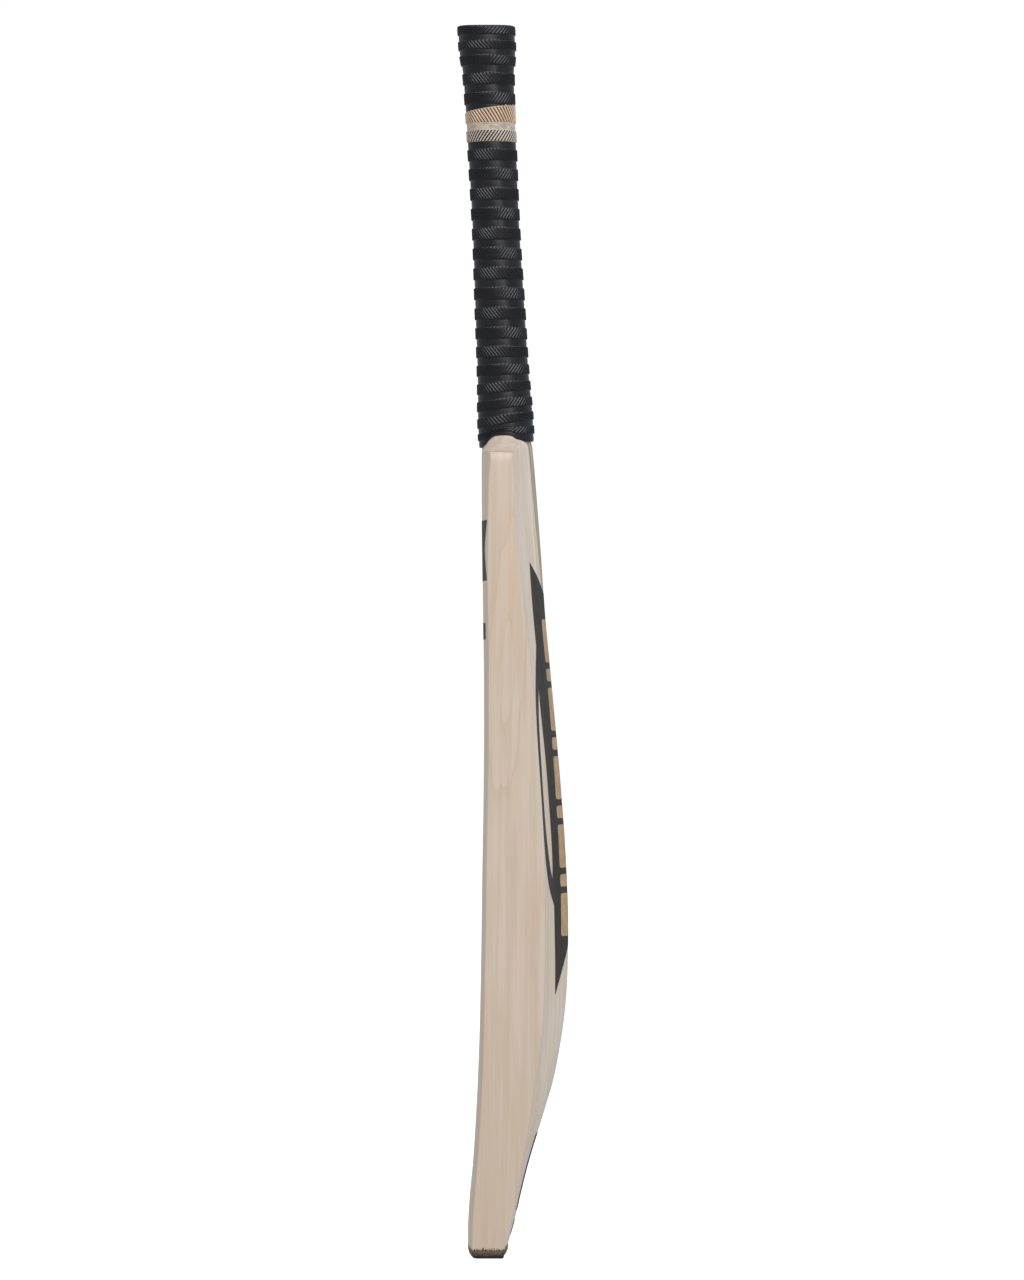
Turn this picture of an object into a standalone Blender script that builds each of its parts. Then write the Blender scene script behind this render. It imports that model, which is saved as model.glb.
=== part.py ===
"""Cricket bat: a willow blade with a spliced, laminated cane handle, a rubber grip, a toe guard and decals.

Frame: +Z runs up the bat from the toe to the top of the handle, -Y is the hitting face, +Y is the spine
side, and the two edges face +X and -X. The origin is the middle of the toe guard's flat bottom.
"""
import math

import bmesh
import bpy
import numpy as np
from mathutils import Matrix

MM = 0.001

# ---- driving dimensions, in millimetres ----
GAP = 0.3                      # clearance between touching pieces

BLADE_BOTTOM = 6.0
BLADE_TOP = 567.0
HALF_WIDTH = 54.0
SHOULDER_CORNER_START = 545.0  # the edges are straight up to here
SHOULDER_CREASE = 553.5        # the rounded corner ends and the scooped shoulder starts
SHOULDER_CORNER_WIDTH = 5.0
TOE_TAPER = 1.5                # how much narrower each side is at the very toe
TOE_TAPER_HEIGHT = 30.0
SHOULDER_SCOOP = 0.55          # below 1, the shoulders sweep in quickly and then climb to the neck
SHOULDER_PEAK_Y = 9.4          # the shoulders' ridge runs up from the middle of the edge
SHOULDER_POINT = 1.5           # 2 would make the shoulders' level section an oval; less makes it pointed
SHOULDER_BLEND = 0.5           # share of the shoulder over which the blade's section becomes that one
BACK_LAG = 0.27                # share of the shoulder by which the back holds its flat form for longer
NECK_BLEND = 0.7               # share of the shoulder above which it rounds off into the neck
CORNER_WIDTH = 1.4             # the small rounded corner between the face and the edge
CORNER_DEPTH = 0.8
RIDGE_POWER = 1.15             # near 1, the spine's two sides are almost flat
BAND_SAG = 0.8                 # hollow of the back between the edge and the spine
BACK_START = 9                 # the point of a half section where the edge ends and the back starts

# (height, y) along the blade
FACE_LINE = [(0, -14.6), (20, -14.5), (40, -13.2), (60, -11.3), (100, -8.7), (140, -6.9), (200, -5.5),
             (260, -4.7), (320, -3.7), (400, -3.5), (460, -4.3), (540, -5.0), (566, -4.9)]
EDGE_BACK_LINE = [(0, 9.5), (40, 18.3), (90, 26.6), (125, 32.0), (155, 36.0), (180, 37.6), (230, 38.4),
                  (265, 38.2), (300, 36.7), (350, 33.3), (400, 29.3), (440, 24.8), (490, 19.9), (566, 14.9)]
SPINE_LINE = [(0, 11.6), (20, 17.4), (40, 22.0), (60, 27.0), (100, 39.2), (120, 45.0), (140, 48.9),
              (160, 52.0), (180, 53.9), (220, 54.9), (240, 54.6), (280, 52.8), (320, 49.9), (400, 42.7),
              (440, 39.0), (480, 36.4), (520, 33.4), (558, 30.2), (566, 29.4)]
# (height, amount): how far the face falls away at its sides, spine height over its crease, crease distance
FACE_FALL = [(0, 4.0), (250, 3.7), (440, 4.3), (482, 4.4), (510, 5.0), (535, 5.9), (550, 7.2), (566, 7.4)]
SPINE_RISE = [(0, 1.0), (40, 1.5), (80, 1.8), (100, 2.2), (120, 3.3), (150, 5.8), (180, 8.8), (210, 9.8),
              (250, 9.3), (300, 8.0), (400, 5.0), (480, 4.3), (520, 4.4), (556, 3.4), (566, 3.2)]
CREASE_X = [(0, 25.0), (100, 24.0), (250, 22.0), (400, 20.0), (480, 17.0), (566, 15.0)]
STATIONS = [BLADE_BOTTOM, 12, 24, 40, 60, 80, 100, 120, 140, 160, 180, 210, 240, 270, 300, 340, 380, 420,
            460, 500, 530, SHOULDER_CORNER_START, 549, 552, SHOULDER_CREASE, 553.9, 554.8, 556.2, 558.2,
            560.8, 563.6, 565.5, BLADE_TOP]

# handle: level oval sections whose centres lie on a line that leans towards the face
HANDLE_LEAN = 0.0489
HANDLE_AXIS_HEIGHT = 610.0
HANDLE_AXIS_Y = 9.8
HANDLE_OVAL = 0.95             # across the bat, as a share of the front-to-back size
HANDLE_TOP = 848.0
NECK_RADIUS = 16.9             # the blade's neck under the grip's rim
SPLICE_BOTTOM = 395.0
SPLICE_HALF_TIP = 1.0
SPLICE_HALF_TOP = 14.2
CANE_SPLIT_X = 4.9             # side joints of the cane strips
SLAB_SPLIT_Y = 7.5             # rubber inserts in front of and behind the middle one
INSERT_THICKNESS = 1.5
INSERT_BOTTOM = 414.0

GRIP_TOP = 850.3
GRIP_BOTTOM = 557.5
GRIP_WALL = 1.4
GRIP_RIM_HOLE = 11.0           # radius of the opening at the top of the grip
GRIP_TOP_ROUND = 2.5
GRIP_RADII = [(557, 19.0), (579, 18.9), (604, 17.8), (656, 16.95), (705, 16.15), (767, 16.6), (806, 17.2),
              (819, 17.7), (830, 19.1), (851, 19.4)]
GRIP_BANDS = 23
# (band from the top, height of its middle); the grip is bunched up a little at its two ends
BAND_HEIGHTS = [(0, 846.6), (1, 836.0), (2, 825.6), (4, 799.2), (7, 760.2), (12, 691.8), (17, 623.8),
                (20, 587.9), (22, 566.5)]
BAND_SHARE = 0.62              # of the distance from band to band
BAND_HEIGHT = 0.75
BAND_CHAMFER = 0.5
BINDING_BOTTOM = 568.0
BINDING_TOP = 846.0
BINDING_WALL = 0.7
TURN_STEPS = 28

DECAL_THICKNESS = 0.4

# toe guard: (height, inset of the face side, inset of the back side, inset of the ends)
GUARD_STEPS = [(0.0, 6.0, 3.0, 4.0), (0.5, 3.4, 1.7, 2.2), (1.5, 1.5, 0.8, 1.0), (3.2, 0.3, 0.2, 0.3),
               (BLADE_BOTTOM - GAP, 0.0, 0.0, 0.0)]

NAME = "cricket_bat"


def fresh_scene():
    for obj in list(bpy.data.objects):
        bpy.data.objects.remove(obj, do_unlink=True)


def collection(name):
    new = bpy.data.collections.new(name)
    bpy.context.scene.collection.children.link(new)
    return new


def material(name, colour, roughness, metallic=0.0):
    mat = bpy.data.materials.new(name)
    mat.use_nodes = True
    shader = mat.node_tree.nodes["Principled BSDF"]
    shader.inputs["Base Color"].default_value = (*colour, 1.0)
    shader.inputs["Roughness"].default_value = roughness
    shader.inputs["Metallic"].default_value = metallic
    return mat


def place(name, mesh, group, mat=None):
    obj = bpy.data.objects.new(name, mesh)
    group.objects.link(obj)
    if mat:
        mesh.materials.clear()
        mesh.materials.append(mat)
    return obj


def as_cutter(obj):
    obj.display_type = "WIRE"
    obj.hide_render = True
    return obj


def curve_through(points, at):
    """A smooth curve through (height, value) points, read at one height."""
    heights = [p[0] for p in points]
    values = [p[1] for p in points]
    at = min(max(at, heights[0]), heights[-1])
    i = int(np.clip(np.searchsorted(heights, at) - 1, 0, len(points) - 2))
    slopes = np.gradient(values, heights)
    span = heights[i + 1] - heights[i]
    t = (at - heights[i]) / span
    return float((2 * t**3 - 3 * t**2 + 1) * values[i] + (t**3 - 2 * t**2 + t) * span * slopes[i]
                 + (3 * t**2 - 2 * t**3) * values[i + 1] + (t**3 - t**2) * span * slopes[i + 1])


# ---- the blade's form ----

def shoulder_share(z):
    """0 up to the crease, then up to 1 where the shoulder has become the neck."""
    return min(max((z - SHOULDER_CREASE) / (BLADE_TOP - SHOULDER_CREASE), 0.0), 1.0)


def half_width(z):
    if z > SHOULDER_CREASE:
        corner = HALF_WIDTH - SHOULDER_CORNER_WIDTH
        return corner - (corner - NECK_RADIUS * HANDLE_OVAL) * shoulder_share(z) ** SHOULDER_SCOOP
    if z > SHOULDER_CORNER_START:
        t = (z - SHOULDER_CORNER_START) / (SHOULDER_CREASE - SHOULDER_CORNER_START)
        return HALF_WIDTH - SHOULDER_CORNER_WIDTH * (1 - math.sqrt(1 - t * t))
    t = max(1 - z / TOE_TAPER_HEIGHT, 0.0)
    return HALF_WIDTH - TOE_TAPER * t * t


def axis_y(z):
    return HANDLE_AXIS_Y - HANDLE_LEAN * (z - HANDLE_AXIS_HEIGHT)


def blade_section(z):
    """Half of the level section: from the middle of the face round the +X edge to the spine."""
    width = half_width(z)
    face = curve_through(FACE_LINE, z)
    crown = curve_through(FACE_FALL, z) - CORNER_DEPTH
    spine = curve_through(SPINE_LINE, z)
    rise = curve_through(SPINE_RISE, z)
    crease_x = curve_through(CREASE_X, z)
    band_edge = curve_through(EDGE_BACK_LINE, z)

    def band(x):
        t = (HALF_WIDTH - x) / (HALF_WIDTH - crease_x)
        return band_edge + (spine - rise - band_edge) * t - BAND_SAG * 4 * t * (1 - t)

    flat = width - CORNER_WIDTH
    points = [(flat * t, face + crown * (flat * t / HALF_WIDTH) ** 2) for t in (0, 0.25, 0.5, 0.75, 1)]
    corner_front = points[-1][1]
    for angle in (math.radians(30), math.radians(60), math.radians(90)):
        points.append((flat + CORNER_WIDTH * math.sin(angle),
                       corner_front + CORNER_DEPTH * (1 - math.cos(angle))))
    points.append((width, (corner_front + CORNER_DEPTH + band(width)) / 2))
    for t in (0, 1 / 3, 2 / 3, 1):
        x = width + (crease_x - width) * t
        points.append((x, band(x)))
    points += [(crease_x * t, spine - rise * t ** RIDGE_POWER) for t in (0.75, 0.5, 0.25, 0)]
    return points


def smooth_step(t):
    t = min(max(t, 0.0), 1.0)
    return t * t * (3 - 2 * t)


def form_section(z):
    """The blade's section, which narrows to a pointed oval over the shoulder and then to the oval neck."""
    blade = blade_section(z)
    share = shoulder_share(z)
    if share == 0:
        return blade
    late = smooth_step((share - NECK_BLEND) / (1 - NECK_BLEND))
    power = 2 / (SHOULDER_POINT + (2 - SHOULDER_POINT) * late)
    centre = SHOULDER_PEAK_Y + (axis_y(z) - SHOULDER_PEAK_Y) * late
    front = axis_y(z) - NECK_RADIUS
    back = axis_y(z) + NECK_RADIUS
    points = []
    for index, (x, y) in enumerate(blade):
        angle = math.pi * (index / (len(blade) - 1) - 0.5)
        lag = BACK_LAG if index >= BACK_START else 0.0
        blend = smooth_step((share - lag) / SHOULDER_BLEND)
        oval_x = half_width(z) * max(math.cos(angle), 0.0) ** power
        reach = front - centre if angle < 0 else back - centre
        oval_y = centre + reach * abs(math.sin(angle)) ** power
        points.append((x + (oval_x - x) * blend, y + (oval_y - y) * blend))
    return points


def offset_outline(points, distance):
    """Move a half section outwards; its two ends stay on the plane of symmetry."""
    full = [(-points[1][0], points[1][1])] + points + [(-points[-2][0], points[-2][1])]
    moved = []
    for before, here, after in zip(full, full[1:], full[2:]):
        normals = []
        for a, b in ((before, here), (here, after)):
            length = math.hypot(b[0] - a[0], b[1] - a[1])
            normals.append(((b[1] - a[1]) / length, -(b[0] - a[0]) / length))
        nx = normals[0][0] + normals[1][0]
        ny = normals[0][1] + normals[1][1]
        stretch = distance * 2 / (nx * nx + ny * ny)
        moved.append((here[0] + nx * stretch, here[1] + ny * stretch))
    moved[0] = (0.0, moved[0][1])
    moved[-1] = (0.0, moved[-1][1])
    return moved


def half_loft(name, stations, sections, capped):
    """A skin through half sections in the +X half, open on the plane of symmetry."""
    bm = bmesh.new()
    rows = [[bm.verts.new((x * MM, y * MM, z * MM)) for x, y in section]
            for z, section in zip(stations, sections)]
    for low, high in zip(rows, rows[1:]):
        for i in range(len(low) - 1):
            bm.faces.new((low[i], low[i + 1], high[i + 1], high[i]))
    if capped:
        bm.faces.new(list(reversed(rows[0])))
        bm.faces.new(rows[-1])
    mesh = bpy.data.meshes.new(name)
    bm.to_mesh(mesh)
    bm.free()
    return mesh


def mirrored(obj):
    mod = obj.modifiers.new("other_side", "MIRROR")
    mod.use_axis = (True, False, False)
    mod.use_clip = True
    mod.merge_threshold = 0.00005
    return obj


def boolean(obj, operation, other):
    mod = obj.modifiers.new(other.name, "BOOLEAN")
    mod.operation = operation
    mod.object = other
    mod.solver = "EXACT"
    return mod


def blade_form(name, group, grow=0.0, top=BLADE_TOP):
    stations = [z for z in STATIONS if z < top] + [top]
    sections = [form_section(min(z, BLADE_TOP)) for z in stations]
    if grow:
        sections = [offset_outline(section, grow) for section in sections]
    return mirrored(place(name, half_loft(name, stations, sections, True), group))


def prism(name, outline, low, high, group, both_sides=False):
    """An outline in X and Z, pushed through the bat from y = low to y = high."""
    bm = bmesh.new()
    face = bm.faces.new([bm.verts.new((x * MM, low * MM, z * MM)) for x, z in outline])
    pushed = bmesh.ops.extrude_face_region(bm, geom=[face])
    moving = [item for item in pushed["geom"] if isinstance(item, bmesh.types.BMVert)]
    bmesh.ops.translate(bm, verts=moving, vec=(0, (high - low) * MM, 0))
    if both_sides:
        copy = bmesh.ops.duplicate(bm, geom=list(bm.verts) + list(bm.edges) + list(bm.faces))
        other = [item for item in copy["geom"] if isinstance(item, bmesh.types.BMVert)]
        bmesh.ops.scale(bm, verts=other, vec=(-1, 1, 1))
    bmesh.ops.recalc_face_normals(bm, faces=bm.faces)
    mesh = bpy.data.meshes.new(name)
    bm.to_mesh(mesh)
    bm.free()
    return as_cutter(place(name, mesh, group))


# ---- turned pieces on the leaning handle axis ----

def lean_matrix():
    """Squeezes a turned piece to the handle's oval and leans it, while its rings stay level."""
    matrix = Matrix.Identity(4)
    matrix[0][0] = HANDLE_OVAL
    matrix[1][2] = -HANDLE_LEAN
    matrix[1][3] = (HANDLE_AXIS_Y + HANDLE_LEAN * HANDLE_AXIS_HEIGHT) * MM
    return matrix


def turned(name, profile, group, closed):
    """Turn a (radius, height) profile about Z, then lean it. It runs down the outer side."""
    bm = bmesh.new()
    verts = [bm.verts.new((r * MM, 0, z * MM)) for r, z in profile]
    for a, b in zip(verts, verts[1:]):
        bm.edges.new((a, b))
    if closed:
        bm.edges.new((verts[-1], verts[0]))
    mesh = bpy.data.meshes.new(name + "_profile")
    bm.to_mesh(mesh)
    bm.free()
    profile_obj = place(name + "_profile", mesh, group)
    screw = profile_obj.modifiers.new("turn", "SCREW")
    screw.steps = TURN_STEPS
    screw.render_steps = TURN_STEPS
    screw.use_merge_vertices = True
    screw.merge_threshold = 0.00001
    turned_obj = profile_obj.evaluated_get(bpy.context.evaluated_depsgraph_get())
    solid = bpy.data.meshes.new_from_object(turned_obj)
    solid.name = name
    solid.transform(lean_matrix())
    bpy.data.objects.remove(profile_obj, do_unlink=True)
    return solid


def grip_radius(z):
    return curve_through(GRIP_RADII, z)


def shaft_radius(z):
    return grip_radius(z) - GRIP_WALL - BINDING_WALL - 2 * GAP


def band_centre(index):
    return curve_through(BAND_HEIGHTS, index)


def band_half_height(index):
    above = max(index - 1, 0)
    below = min(index + 1, GRIP_BANDS - 1)
    return BAND_SHARE * (band_centre(above) - band_centre(below)) / (below - above) / 2


def grip_profile():
    """Down the banded outside, up the plain bore and back over the turned-in top rim."""
    top = GRIP_TOP
    first_low = band_centre(0) - band_half_height(0)
    top_radius = grip_radius(top) + BAND_HEIGHT
    points = [(top_radius - GRIP_TOP_ROUND, top), (top_radius - 0.7, top - 0.8), (top_radius, top - 2.6),
              (top_radius, first_low + BAND_CHAMFER), (grip_radius(first_low), first_low)]
    for index in range(1, GRIP_BANDS):
        high = band_centre(index) + band_half_height(index)
        low = band_centre(index) - band_half_height(index)
        points.append((grip_radius(high), high))
        points.append((grip_radius(high) + BAND_HEIGHT, high - BAND_CHAMFER))
        if low < GRIP_BOTTOM + 1:
            break
        points.append((grip_radius(low) + BAND_HEIGHT, low + BAND_CHAMFER))
        points.append((grip_radius(low), low))
    points.append((grip_radius(GRIP_BOTTOM), GRIP_BOTTOM))
    bore_top = HANDLE_TOP + GAP
    for z in (GRIP_BOTTOM, 580, 605, 640, 680, 720, 770, 806, 819, 830, bore_top):
        points.append((grip_radius(z) - GRIP_WALL, z))
    points += [(GRIP_RIM_HOLE, bore_top), (GRIP_RIM_HOLE, top)]
    return points


def binding_profile():
    heights = [BINDING_TOP, 830, 819, 806, 770, 720, 680, 640, 605, 580, BINDING_BOTTOM]
    outer = [(grip_radius(z) - GRIP_WALL - GAP, z) for z in heights]
    inner = [(r - BINDING_WALL, z) for r, z in reversed(outer)]
    return outer + inner


def shaft_profile():
    heights = [HANDLE_TOP, 830, 819, 806, 770, 720, 680, 640, 605, 580, BLADE_TOP + GAP]
    outer = [(shaft_radius(z), z) for z in heights]
    return [(0, HANDLE_TOP)] + outer + [(0, BLADE_TOP + GAP)]


# ---- handle: cane strips and rubber inserts, all cut from one handle form ----

def splice_outline(grow):
    top = BLADE_TOP + GAP
    slope = (SPLICE_HALF_TOP - SPLICE_HALF_TIP) / (top - SPLICE_BOTTOM)
    low_half = SPLICE_HALF_TIP + grow
    high_half = SPLICE_HALF_TOP + grow + slope
    return [(-low_half, SPLICE_BOTTOM - grow), (low_half, SPLICE_BOTTOM - grow),
            (high_half, top + 1), (-high_half, top + 1)]


def handle_form(cutters):
    """The whole handle: the turned shaft joined to the tapered splice, which is flush with the blade."""
    wedge = prism("splice_wedge", splice_outline(0.0), -40, 80, cutters)
    form = as_cutter(blade_form("handle_form", cutters, top=BLADE_TOP + 2 * GAP))
    boolean(form, "INTERSECT", wedge)
    shaft = place("shaft_form", turned("shaft_form", shaft_profile(), cutters, False), cutters)
    boolean(form, "UNION", as_cutter(shaft))
    return form


def cell(name, x_range, y_range, bottom, group, mat):
    """A box that follows the handle's lean, from bottom to above the handle's top."""
    bm = bmesh.new()
    bmesh.ops.create_cube(bm, size=1.0)
    size = (x_range[1] - x_range[0], y_range[1] - y_range[0], HANDLE_TOP + 5 - bottom)
    centre = (sum(x_range) / 2, sum(y_range) / 2, bottom + size[2] / 2)
    bmesh.ops.scale(bm, verts=bm.verts, vec=[s * MM for s in size])
    bmesh.ops.translate(bm, verts=bm.verts, vec=[c * MM for c in centre])
    lean = lean_matrix()
    lean[0][0] = 1.0
    bmesh.ops.transform(bm, verts=bm.verts, matrix=lean)
    mesh = bpy.data.meshes.new(name)
    bm.to_mesh(mesh)
    bm.free()
    return place(name, mesh, group, mat)


def build_handle(parts, cutters, cane, rubber):
    form = handle_form(cutters)
    half_insert = INSERT_THICKNESS / 2
    reach = 60.0
    joints = (-SLAB_SPLIT_Y, 0.0, SLAB_SPLIT_Y)
    slabs = {
        "front": (-reach, joints[0] - half_insert - GAP),
        "midfront": (joints[0] + half_insert + GAP, joints[1] - half_insert - GAP),
        "midback": (joints[1] + half_insert + GAP, joints[2] - half_insert - GAP),
        "back": (joints[2] + half_insert + GAP, reach),
    }
    columns = {
        "left": (-reach, -CANE_SPLIT_X - GAP / 2),
        "centre": (-CANE_SPLIT_X + GAP / 2, CANE_SPLIT_X - GAP / 2),
        "right": (CANE_SPLIT_X + GAP / 2, reach),
    }
    for slab, y_range in slabs.items():
        for column, x_range in columns.items():
            strip = cell(f"cane_{slab}_{column}", x_range, y_range, SPLICE_BOTTOM - 5, parts, cane)
            boolean(strip, "INTERSECT", form)
    for place_name, y in zip(("front", "middle", "back"), joints):
        insert = cell(f"rubber_insert_{place_name}", (-reach, reach), (y - half_insert, y + half_insert),
                      INSERT_BOTTOM, parts, rubber)
        boolean(insert, "INTERSECT", form)


# ---- decals: thin skins that follow the blade ----

def skin(name, low, high, front, parts, mat):
    """A thin skin over the back (or the face) of the blade between two stations."""
    stations = [z for z in STATIONS if low <= z <= high]
    sections = []
    for z in stations:
        outline = offset_outline(form_section(z), GAP)
        sections.append(outline[:7] if front else outline[9:])
    obj = mirrored(place(name, half_loft(name, stations, sections, False), parts, mat))
    thick = obj.modifiers.new("thickness", "SOLIDIFY")
    thick.thickness = DECAL_THICKNESS * MM
    thick.offset = 1.0
    thick.use_even_offset = True
    return obj


def both_halves(half_outline):
    """A closed outline from its +X half, listed from the top middle to the bottom middle."""
    return half_outline + [(-x, z) for x, z in reversed(half_outline) if x > 0]


PANEL_HALF = [(0, 456), (28.5, 478), (29.5, 461), (30, 420), (38, 402), (45, 385), (49, 362), (50.5, 335),
              (50, 300), (46, 276), (36, 256), (22.5, 241), (21.5, 210), (21.5, 179), (0, 213)]
SLIT = [(34, 392), (33, 375), (28.5, 339), (26, 305), (24, 275), (25, 259), (33, 273), (41, 300), (42.5, 335),
        (40.5, 368)]
TOE_PANEL_HALF = [(0, 83), (22, 83), (22, 30), (0, 30)]
TOE_STRIPE_HALF = [(0, 23), (22, 23), (22, 13), (0, 13)]
FACE_PANEL_HALF = [(0, 506.5), (52, 506.5), (44, 496), (38.6, 486), (44, 476), (52, 465), (0, 465)]
FACE_BAR_HALF = [(0, 436), (38, 436), (38, 424.6), (0, 424.6)]


def build_decals(parts, cutters, mat):
    # name, outline, stations that it spans, whether it is on the face, reach of its outline in y
    decals = [
        ("decal_back_panel", PANEL_HALF, 160, 500, False, (10, 80)),
        ("decal_toe_panel", TOE_PANEL_HALF, 24, 100, False, (5, 60)),
        ("decal_toe_stripe", TOE_STRIPE_HALF, 12, 40, False, (4, 61)),
        ("decal_face_panel", FACE_PANEL_HALF, 460, 530, True, (-20, 10)),
        ("decal_face_bar", FACE_BAR_HALF, 420, 460, True, (-21, 11)),
    ]
    for name, half_outline, low, high, front, reach in decals:
        decal = skin(name, low, high, front, parts, mat)
        outline = prism(name + "_outline", both_halves(half_outline), *reach, cutters)
        boolean(decal, "INTERSECT", outline)
        if name == "decal_back_panel":
            slits = prism("panel_slits", SLIT, reach[0] - 1, reach[1] + 1, cutters, both_sides=True)
            boolean(decal, "DIFFERENCE", slits)


# ---- toe guard ----

def build_toe_guard(parts, mat):
    """A cap under the toe: the blade's toe section, rounded towards a flat bottom."""
    outline = blade_section(BLADE_BOTTOM)
    widest = max(x for x, _ in outline)
    front = min(y for _, y in outline)
    back = max(y for _, y in outline)
    stations = [z for z, _, _, _ in GUARD_STEPS]
    sections = []
    for _, face_inset, back_inset, end_inset in GUARD_STEPS:
        low = front + face_inset
        high = back - back_inset
        sections.append([(x * (widest - end_inset) / widest, low + (y - front) * (high - low) / (back - front))
                         for x, y in outline])
    mirrored(place("toe_guard", half_loft("toe_guard", stations, sections, True), parts, mat))


def build():
    fresh_scene()
    parts = collection(NAME)
    cutters = collection(NAME + "_cutters")
    willow = material("willow", (0.60, 0.49, 0.39), 0.55)
    cane = material("cane", (0.44, 0.34, 0.25), 0.6)
    rubber = material("insert_rubber", (0.03, 0.03, 0.03), 0.8)
    twine = material("binding_twine", (0.60, 0.55, 0.45), 0.8)
    grip_rubber = material("grip_rubber", (0.018, 0.018, 0.022), 0.6)
    guard_rubber = material("guard_rubber", (0.10, 0.085, 0.075), 0.8)
    charcoal = material("decal_charcoal", (0.042, 0.038, 0.040), 0.45)

    blade = blade_form("blade", parts)
    blade.data.materials.append(willow)
    boolean(blade, "DIFFERENCE", prism("splice_cutter", splice_outline(GAP), -41, 81, cutters))
    build_handle(parts, cutters, cane, rubber)

    place("binding", turned("binding", binding_profile(), cutters, True), parts, twine)
    grip = place("grip", turned("grip", grip_profile(), cutters, True), parts, grip_rubber)
    shoulder = as_cutter(blade_form("grip_clearance", cutters, grow=GAP, top=BLADE_TOP + GAP))
    boolean(grip, "DIFFERENCE", shoulder)

    build_toe_guard(parts, guard_rubber)
    build_decals(parts, cutters, charcoal)
    for obj in parts.objects:
        obj.data.shade_smooth()
        obj.data.set_sharp_from_angle(angle=math.radians(35))


build()
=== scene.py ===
"""The looks of the cricket bat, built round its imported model.

Frame: metres, +Z runs up the bat from the toe, -Y is the hitting face, +Y is the spine side.
The forms below are worked out in millimetres and scaled when their meshes are made.
"""

import math

import bpy
import numpy as np
from mathutils import Matrix, Vector


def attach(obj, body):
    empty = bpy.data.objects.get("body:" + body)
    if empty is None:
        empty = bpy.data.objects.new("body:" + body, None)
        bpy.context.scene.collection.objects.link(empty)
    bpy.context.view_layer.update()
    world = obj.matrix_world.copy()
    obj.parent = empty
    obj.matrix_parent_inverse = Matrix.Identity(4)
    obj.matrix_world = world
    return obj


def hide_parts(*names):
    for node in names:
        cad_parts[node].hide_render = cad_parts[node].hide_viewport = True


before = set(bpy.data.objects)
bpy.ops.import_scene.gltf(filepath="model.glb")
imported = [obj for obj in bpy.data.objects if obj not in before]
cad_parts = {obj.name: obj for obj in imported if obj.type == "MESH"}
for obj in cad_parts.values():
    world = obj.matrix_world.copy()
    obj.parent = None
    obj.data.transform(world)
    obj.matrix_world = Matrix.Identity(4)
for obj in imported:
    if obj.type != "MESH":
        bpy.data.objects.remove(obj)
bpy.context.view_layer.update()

MM = 0.001

# ---- the blade's form, in millimetres ----
BLADE_BOTTOM = 6.0
BLADE_TOP = 567.0
HALF_WIDTH = 54.0
SHOULDER_CORNER_START = 545.0
SHOULDER_CREASE = 553.5
SHOULDER_CORNER_WIDTH = 5.0
SHOULDER_SCOOP = 0.55
SHOULDER_PEAK_Y = 9.4
SHOULDER_POINT = 1.5
SHOULDER_BLEND = 0.5
BACK_LAG = 0.27                # share of the shoulder by which the back holds its flat form for longer
BACK_LAG_START = 8.4           # where along a half section that lag sets in, and over how much of it
BACK_LAG_SPAN = 0.6
SECTION_END = 16               # the spine's place along a half section
NECK_BLEND = 0.7
TOE_TAPER = 1.5
TOE_TAPER_HEIGHT = 30.0
CORNER_WIDTH = 1.4             # the rounded corner between the face and the edge
CORNER_DEPTH = 0.8
BACK_CORNER = 0.8              # radius of the corner between the edge and the back
CREASE_SOFTNESS = 1.1
BAND_SAG = 0.8                 # how hollow the back is between its crease and the edge
RIDGE_POWER = 1.15
BLADE_LEVELS = 235             # levels of the mesh up the straight part, round the corner, up the scoop
CORNER_LEVELS = 12
SCOOP_LEVELS = 26

# (height, y) along the blade, then (height, amount)
FACE_LINE = [(0, -14.6), (20, -14.5), (40, -13.2), (60, -11.3), (100, -8.7), (140, -6.9), (200, -5.5),
             (260, -4.7), (320, -3.7), (400, -3.5), (460, -4.3), (540, -5.0), (566, -4.9)]
EDGE_BACK_LINE = [(0, 9.5), (40, 18.3), (90, 26.6), (125, 32.0), (155, 36.0), (180, 37.6), (230, 38.4),
                  (265, 38.2), (300, 36.7), (350, 33.3), (400, 29.3), (440, 24.8), (490, 19.9), (566, 14.9)]
SPINE_LINE = [(0, 11.6), (20, 17.4), (40, 22.0), (60, 27.0), (100, 39.2), (120, 45.0), (140, 48.9),
              (160, 52.0), (180, 53.9), (220, 54.9), (240, 54.6), (280, 52.8), (320, 49.9), (400, 42.7),
              (440, 39.0), (480, 36.4), (520, 33.4), (558, 30.2), (566, 29.4)]
FACE_FALL = [(0, 4.0), (250, 3.7), (440, 4.3), (482, 4.4), (510, 5.0), (535, 5.9), (550, 7.2), (566, 7.4)]
SPINE_RISE = [(0, 1.0), (40, 1.5), (80, 1.8), (100, 2.2), (120, 3.3), (150, 5.8), (180, 8.8), (210, 9.8),
              (250, 9.3), (300, 8.0), (400, 5.0), (480, 4.3), (520, 4.4), (556, 3.4), (566, 3.2)]
CREASE_X = [(0, 25.0), (100, 24.0), (250, 22.0), (400, 20.0), (480, 17.0), (566, 15.0)]

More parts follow.
